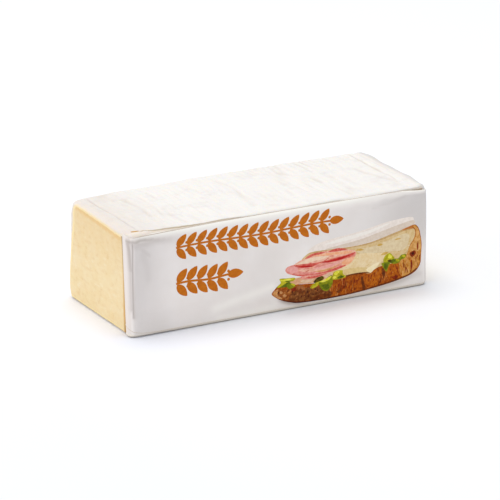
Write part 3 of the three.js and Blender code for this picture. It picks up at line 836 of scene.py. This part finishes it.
    ("crumbTan", (173.8, 25.4), (176, 26.6), (178.8, 26.2), (177.6, 25), (175, 24.9)),
)
# small ovals over some fields: how many on each mm2, their inks, length, width and lean in degrees
strewn = {
    "crumb": (0.10, ("crumbPore", "crumbPore", "crumbLight"), (0.7, 1.8), (0.5, 0.9), 10),
    "crust": (0.26, ("crustDark", "crustRed", "crustRed", "crustGold", "crustGold", "crustPale", "crustPale"),
              (1.6, 5.0), (0.35, 0.8), 80),
    "heel": (0.30, ("crustDark", "crustDark", "crustBlack", "crustPale", "crustMauve", "crustMauve"),
             (0.8, 2.4), (0.5, 1.1), 60),
    "heelDark": (0.28, ("crustDark", "crustBlack", "heel", "crustMauve"), (0.8, 2.4), (0.5, 1.1), 60),
    "crustTip": (0.26, ("crustPale", "crustMauve", "crustLight"), (0.8, 2.0), (0.5, 0.9), 60),
    "crustGold": (0.26, ("crustRed", "crustRed", "crust", "crustPale"), (1.2, 3.4), (0.35, 0.8), 80),
    "flank": (0.36, ("crustGold", "crustRed", "crustPale", "crustLight", "crustLight"),
              (1.6, 4.5), (0.35, 0.8), 96),
    "ham": (0.12, ("hamRed", "hamPale", "hamPink", "hamPeach"), (2.5, 7), (0.3, 0.6), 7),
    "hamPale": (0.12, ("hamRed", "hamCream", "hamPeach"), (2.5, 6), (0.3, 0.6), 7),
    "slice": (0.04, ("sliceFront", "sliceLight"), (1.0, 2.2), (0.4, 0.8), 10),
}
inks = {  # two shades that each printed field is mottled with
    # hem is painted shade along the film's upper edge
    "hem": ("D4C8BC", "CABCAE"), "footHem": ("D6C8B4", "CABBA2"), "orange": ("BE660E", "C87012"),
    "band": ("EDE1D6", "F6EAE0"), "bandShade": ("DCCAB8", "E4D4C4"), "bandLight": ("F6EEE4", "FAF3EA"),
    "crumb": ("D8B780", "E1C694"), "crumbLight": ("DEC69C", "E8D4AE"), "crumbTan": ("CCA24E", "DAB468"),
    "crumbPore": ("C8A468", "D2AE74"), "crustLine": ("C29C66", "D0AC78"),
    "slice": ("EBCF9C", "F1DAB0"), "sliceFront": ("DEC084", "E9CD92"), "sliceLight": ("F6E3B4", "FBEBC4"),
    "crust": ("903C00", "B65C08"), "heel": ("843C0C", "A65E22"), "heelDark": ("64300C", "8A5224"),
    "crustTip": ("B4743F", "D09A64"), "flank": ("BC7A2A", "D89A4C"), "flankPale": ("CC904A", "E2B06E"),
    "crustGold": ("AC5204", "C46C10"), "crustPale": ("B86C2E", "CC8646"), "crustLight": ("D49452", "E2A868"),
    "crustDark": ("5E2806", "7E3C0E"), "crustBlack": ("3C0C02", "541804"), "crustRed": ("701C02", "923206"),
    "crustMauve": ("8D5028", "B06D3A"), "cream": ("D69E74", "E4B38A"), "creamLight": ("DDB692", "E6C6A6"),
    "hamPale": ("EAAA90", "F4C0A8"), "hamCream": ("F0CEB0", "F8DABE"), "hamPink": ("EA9E96", "F2AEA6"),
    "hamPeach": ("F2A87C", "F9BE98"), "ham": ("DE8478", "EC9E90"), "hamRed": ("CE5046", "E07060"),
    "hamDeep": ("B0161A", "C42822"), "leafBright": ("DCD630", "ECE45C"), "leafPale": ("A49C0C", "C8BC28"),
    "leaf": ("6E7A08", "90920E"), "leafDeep": ("4C5C04", "66700C"), "leafDark": ("3F3101", "645203"),
}


def insideLoop(points, loop):
    # which points lie inside a closed outline
    x, z = points[:, :1], points[:, 1:]
    a, b = loop, np.roll(loop, -1, 0)
    rise = np.where(a[:, 1] == b[:, 1], 1, b[:, 1] - a[:, 1])
    crosses = ((a[:, 1] > z) != (b[:, 1] > z)) & (x < a[:, 0] + (z - a[:, 1]) / rise * (b[:, 0] - a[:, 0]))
    return crosses.sum(1) % 2 == 1


def ovalsIn(loop, seed, perArea, inkNames, long, wide, lean):
    # small ovals strewn inside a closed outline, each with its ink
    random = np.random.RandomState(seed)
    low, high = loop.min(0), loop.max(0)
    t = np.linspace(0, 2 * math.pi, 8, endpoint=False)
    ovals = []
    for _ in range(round(perArea * np.prod(high - low))):
        turn = math.radians(random.normal(lean, 12))
        oval = np.stack([np.cos(t) * random.uniform(*long), np.sin(t) * random.uniform(*wide)], 1) / 2
        oval = turned(oval, turn) + random.uniform(low, high)
        ink = inkNames[random.randint(len(inkNames))]
        if insideLoop(oval, loop).all():
            ovals.append((ink, oval))
    return ovals


def labelOutline():
    # the flat label's own outline, s from the bar's middle
    low, lowRight = bar["filmFoot"], bar["filmFootRight"]
    topLeft, top = (height - float(hemDrop(end)) for end in (-halfLength, halfLength))
    across = np.arange(-halfLength - returnWidth(low), halfLength + returnWidth(lowRight), 1.3)
    bottom = list(zip(across, low + (lowRight - low) * ramp(across, -90, -55)))
    rightSide = [(halfLength + returnWidth(z), z) for z in np.linspace(lowRight, top, 46)[:-1]]
    topLine = [(s, height - float(hemDrop(s)))
               for s in np.linspace(halfLength + returnWidth(top), -halfLength - returnWidth(topLeft), 230)]
    leftSide = [(-halfLength - returnWidth(z), z) for z in np.linspace(topLeft, low, 46)[1:-1]]
    return bottom + rightSide + topLine + leftSide


def printedShapes():
    # the hem's two lines, the upper one painted shade along the film's cut edge, the sprigs and the picture,
    # each outline with its ink
    hemPlaces = (1.5, 8, 30, 60, 120, 178, 188)
    hem = [(x, height - float(hemDrop(x - bar["length"] / 2)) - 0.28) for x in hemPlaces]
    foot = [(-6, 7), (-2, 5.4), (2, 3.8), (8, 2.4), (16, 1.9), (60, 1.8), (206, 1.8)]
    shapes = [("hem", strokeOutline(hem, [0.1, 0.6, 0.65, 0.65, 0.6, 0.5, 0.1])),
              ("footHem", strokeOutline(foot, [0.2, 0.3, 0.3, 0.26, 0.22, 0.2, 0.2]))]
    shapes += [("orange", loop) for row in label["sprigs"] for loop in sprig(*row)]
    for seed, (ink, *loop) in enumerate(picture):
        shapes.append((ink, smoothLoop(loop)))
        if ink in strewn:
            shapes += ovalsIn(shapes[-1][1], seed, *strewn[ink])
    return shapes


def innerPoints():
    # the mesh's other points, closer together where the film bends; each band's start and spacing
    left, right, edge = -bar["length"] / 2, halfLength, label["stepEdge"]
    bands = ((-right - 9.6, 1.0), (-right - 5, edge), (left + 0.6, label["stepFold"]), (left + 5, edge),
             (left + 8, label["step"]), (-10, label["stepPicture"]), (right - 5, edge), (right + 5, 1.0))
    ends = [start for start, _ in bands[1:]] + [right + 9.6]
    s = np.concatenate([np.arange(start, end, step) for (start, step), end in zip(bands, ends)])
    v = np.concatenate([np.arange(bar["filmFoot"] + 0.8, 60, label["step"]), np.arange(60, height, edge)])
    s, v = (a.ravel() for a in np.meshgrid(s, v))
    s = s + 0.1 * np.sin(v * 2.3)  # keeps the grid off the outlines' own points
    keep = (np.abs(s) < halfLength + returnWidth(v) - 0.35) & (v < height - hemDrop(s) - 0.3)
    return list(zip(s[keep], v[keep]))


def filmFields(x, z):
    # shares of the film's tints: painted shade towards both ends, the picture's printed shadow, and the
    # painted shade and painted highlights of its folds, top edge and foot
    places = np.stack([x, z], 1)
    bandFoot = stepped(x, label["bandFoot"])
    much = label["greyer"]
    # painted shade greying the film's face, more at the left, low by the left and at the right, and in soft
    # clouds
    tone = much["all"] + much["left"] * ramp(x, 34, 5) + much["lowLeft"] * bell(x, 24, 12) * ramp(z, 20, 12)
    tone += much["right"] * ramp(x, 150, 202) * ramp(z, 20, 48)
    tone += much["clouds"] * softNoise(np.stack([x, z, 0 * z], 1), (30, 16, 9), 43)
    tone = np.clip(tone, 0, 1) * ramp(x, 1.5, 4) * ramp(z, bandFoot + 1.3, bandFoot - 1.3)
    # painted shade on the rounding of the film's right edge
    edge = ramp(x, 204.6, 207) * (much["rightEdgeShade"] + (1 - much["rightEdgeShade"]) * ramp(z, 20, 60))
    tone = np.maximum(tone, edge)
    # painted highlight along the film's upper edge at the right, where it droops
    hemRidgeHighlight = 0.9 * bell(height - hemDrop(x - bar["length"] / 2) - z, 0, 0.7) * ramp(x, 180, 188)
    crust = next(loop for ink, *loop in picture if ink == "crust")
    # soft printed shadow under the crust, and on along the picture's right half
    shadow = nearLine(places, crust + crust[:1], 1.8) * ramp(z, 18, 8) * ramp(x, 98, 106)
    shadow *= 1.3 - 0.8 * ramp(x, 112, 130)
    shadow += 0.35 * nearLine(places, label["printShadow"], 1.8)
    # painted shadow at the film's foot by the ground, painted shade along its folds and under its hem, and
    # painted highlights where its folds catch the light
    fold, gleam = 0.5 * ramp(z, 1.1, 0.7), 0 * z
    for share, wide, line in label["shades"]:
        fold = np.maximum(fold, share * nearLine(places, line, wide))
    for share, wide, line in label["gleams"]:
        gleam = np.maximum(gleam, share * nearLine(places, line, wide))
    # painted highlight on the band along the top
    paleBandHighlight = ramp(z, 60.4, 64) * (1 - 0.7 * ramp(x, 150, 188)) * ramp(x, 2, 8)
    return {
        "tone": tone * (1 - hemRidgeHighlight) * (1 - gleam), "shadow": 0.55 * np.clip(shadow, 0, 1.3), "fold": fold,
        "warm": ramp(x, 1.0, -1.0), "hem": ramp(z, 2.2, 1.7),
        "top": np.maximum(paleBandHighlight, np.maximum(hemRidgeHighlight, gleam)),
    }


def buildLabel(materials):
    half = bar["length"] / 2
    points, shapes = labelOutline(), printedShapes()
    loops = [list(range(len(points)))]
    for _, loop in shapes:
        start = len(points)
        points += [(x - half, z) for x, z in loop]
        x, z = loop.T
        turnsLeft = np.sum(x * np.roll(z, -1) - np.roll(x, -1) * z) > 0
        loops.append(list(range(start, len(points)))[::1 if turnsLeft else -1])
    points += innerPoints()
    flat, _, faces, _, _, faceIds = delaunay_2d_cdt([Vector(p) for p in points], [], loops, 1, 1e-5, True)
    flat, faces = np.array([tuple(p) for p in flat]), np.array(faces)
    kept = [i for i, ids in enumerate(faceIds) if len(ids)]  # slivers on the outline belong to no face
    faces = faces[kept]
    # the topmost outline that each face lies in; the first is the label's own
    drawn = [shapes[max(faceIds[i]) - 1][0] if max(faceIds[i]) > 0 else None for i in kept]
    # all triangles the same way round
    a, b, c = (flat[faces[:, i]] for i in range(3))
    turned = (b[:, 0] - a[:, 0]) * (c[:, 1] - a[:, 1]) - (b[:, 1] - a[:, 1]) * (c[:, 0] - a[:, 0]) < 0
    faces[turned] = faces[turned][:, ::-1]
    # outer face, inner face and the cut edge between them
    count = len(flat)
    edges = np.concatenate([faces[:, [0, 1]], faces[:, [1, 2]], faces[:, [2, 0]]])
    known = set(map(tuple, edges.tolist()))
    border = sorted((i, j) for i, j in known if (j, i) not in known)
    rimFaces = [(j, i, i + count, j + count) for i, j in border]
    allFaces = faces.tolist() + (faces[:, ::-1] + count).tolist() + rimFaces
    drawn += [None] * (len(faces) + len(rimFaces))
    skins = [placeFilm(flat[:, 0], flat[:, 1], skin) for skin in (1, 0)]
    fields = filmFields(flat[:, 0] + half, flat[:, 1])
    piece = makeMesh("label_film", np.concatenate(skins), allFaces, materials,
                     np.array([0 if ink is None else 1 for ink in drawn]),
                     {name: np.tile(values, 2) for name, values in fields.items()})
    # each printed field's two shades, for the faces cut along its outline
    corners = [len(face) for face in allFaces]
    for which, name in enumerate(("ink", "inkOther")):
        shades = {ink: linear(pair[which]) for ink, pair in inks.items()}
        colours = np.repeat([shades[ink or "orange"] for ink in drawn], corners, axis=0)
        attribute = piece.data.attributes.new(name, "FLOAT_COLOR", "CORNER")
        attribute.data.foreach_set("color", colours.astype(np.float32).ravel())
    return piece


def printedFilm(name, printed):
    # Printed polypropylene film, extruded, printed on its back and shrunk on: smooth with a soft gloss.
    # Painted shade and painted highlights lie in the film's white, and the inks lie under the same gloss.
    material, add = newMaterial(name)
    place = add("TexCoord", output="Object")
    value = {}
    for pattern, (across, detail, rough) in label["patterns"].items():
        value[pattern] = add("TexNoise", None, {
            "Vector": place, "Scale": 1 / (across * mm), "Detail": detail, "Roughness": rough}, "Fac")
    if printed:
        # each field of ink is mottled between its two shades
        share = add("MapRange", {"interpolation_type": "SMOOTHSTEP"}, {
            "Value": value["mottle"], "From Min": 0.38, "From Max": 0.62})
        first, other = (add("Attribute", {"attribute_name": ink}, output="Color")
                        for ink in ("ink", "inkOther"))
        colour = add("MixRGB", None, {"Fac": share, "Color1": first, "Color2": other})
    else:
        share = add("MapRange", None, {"Value": value["cloud"], "From Min": 0.35, "From Max": 0.65})
        colour = add("MixRGB", None, {
            "Fac": share, "Color1": linear(label["film"]), "Color2": linear(label["filmPale"])})
        # the film's tints in turn, painted highlight and painted shade among them
        for field, tint in label["tints"].items():
            share = add("Attribute", {"attribute_name": field}, output="Fac")
            colour = add("MixRGB", None, {"Fac": share, "Color1": colour, "Color2": linear(tint)})
    # the film's own unevenness, about 5 mm, and a faint orange-peel of 0.6 mm
    uneven = add("Math", {"operation": "MULTIPLY_ADD"}, {
        0: value["orangePeel"], 1: label["peelShare"], 2: value["slack"]})
    bump = add("Bump", None, {
        "Strength": label["bump"], "Distance": label["bumpHeight"] * mm, "Height": uneven})
    low, high = label["roughness"]
    roughness = add("MapRange", None, {
        "Value": value["slack"], "From Min": 0.3, "From Max": 0.7, "To Min": low, "To Max": high})
    shader = add("BsdfPrincipled", None, {
        "Base Color": colour, "Roughness": roughness, "Normal": bump, "IOR": label["ior"],
        "Specular IOR Level": label["specular"]["ink" if printed else "film"],
    })
    add("OutputMaterial", None, {"Surface": shader})
    return material


labelFilm = buildLabel([printedFilm("whiteShrinkFilm", False), printedFilm("reversePrintedInk", True)])
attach(labelFilm, "root")
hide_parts("label")
print("label made:", len(labelFilm.data.polygons), "faces")


studio = {
    "floorLeft": "F3F4FF", "floorRight": "F7F8FC",  # a little cooler to the left, painted against the yellow light that the paste throws on it
    "floorBlend": (-0.19, -0.03), "floorHalf": 6,  # m, where the one turns into the other, and half its side
    "lights": {  # place in m, diameter in m and power in W
        "softboxOverhead": ((-0.10, 0.32, 1.95), 1.2, 14.2), "fillLeft": ((-1.9, 0.3, 0.5), 0.9, 6.4),
    },
    "lightAim": (0, 0, 0.03), "lightColour": "FFFCF8", "surroundColour": "F9FCFE", "surround": 0.79,
    "distance": 2.5, "azimuth": -28.42, "elevation": 18.8, "lens": 290.41, "sensor": 36,  # m, degrees and mm
    "aim": (0.0, -0.0024, 0.033), "shift": (0.00056, -0.01754),
}


def makeFloor():
    # matt white studio sweep
    material, add = newMaterial("mattWhiteSweep")
    x = add("SeparateXYZ", None, {"Vector": add("TexCoord", output="Object")}, "X")
    # cooler to the left, painted against the paste's yellow bounce light
    low, high = studio["floorBlend"]
    share = add("MapRange", None, {"Value": x, "From Min": low, "From Max": high})
    tone = add("MixRGB", None, {
        "Fac": share, "Color1": linear(studio["floorLeft"]), "Color2": linear(studio["floorRight"])})
    shader = add("BsdfPrincipled", None, {"Base Color": tone, "Roughness": 1.0, "IOR": 1.0})
    add("OutputMaterial", None, {"Surface": shader})
    mesh = bpy.data.meshes.new("floor")
    half = studio["floorHalf"]
    corners = [(-half, -half, 0), (half, -half, 0), (half, half, 0), (-half, half, 0)]
    mesh.from_pydata(corners, [], [(0, 1, 2, 3)])
    mesh.materials.append(material)
    floor = bpy.data.objects.new("floor", mesh)
    bpy.context.scene.collection.objects.link(floor)


def makeLight(name, place, size, power):
    data = bpy.data.lights.new(name, "AREA")
    data.shape = "DISK"
    data.size = size
    data.energy = power
    data.color = linear(studio["lightColour"])[:3]
    light = bpy.data.objects.new(name, data)
    light.location = place
    light.rotation_euler = (Vector(studio["lightAim"]) - Vector(place)).to_track_quat("-Z", "Y").to_euler()
    bpy.context.scene.collection.objects.link(light)


def makeCamera():
    azimuth, elevation = math.radians(studio["azimuth"]), math.radians(studio["elevation"])
    back = Vector((math.sin(azimuth) * math.cos(elevation), -math.cos(azimuth) * math.cos(elevation),
                   math.sin(elevation)))
    data = bpy.data.cameras.new("camera")
    data.sensor_width = studio["sensor"]
    data.lens = studio["lens"]
    data.shift_x, data.shift_y = studio["shift"]
    data.clip_end = 50
    camera = bpy.data.objects.new("camera", data)
    camera.location = Vector(studio["aim"]) + back * studio["distance"]
    camera.rotation_euler = (-back).to_track_quat("-Z", "Y").to_euler()
    bpy.context.scene.collection.objects.link(camera)
    bpy.context.scene.camera = camera


makeFloor()
makeCamera()
for name, row in studio["lights"].items():
    makeLight(name, *row)
world = bpy.data.worlds.new("studioSurround")
world.use_nodes = True
surround = world.node_tree.nodes["Background"].inputs
surround["Color"].default_value = linear(studio["surroundColour"])
surround["Strength"].default_value = studio["surround"]
bpy.context.scene.world = world
bpy.context.scene.view_settings.view_transform = "Standard"
bpy.context.scene.view_settings.look = "None"
print("studio made")
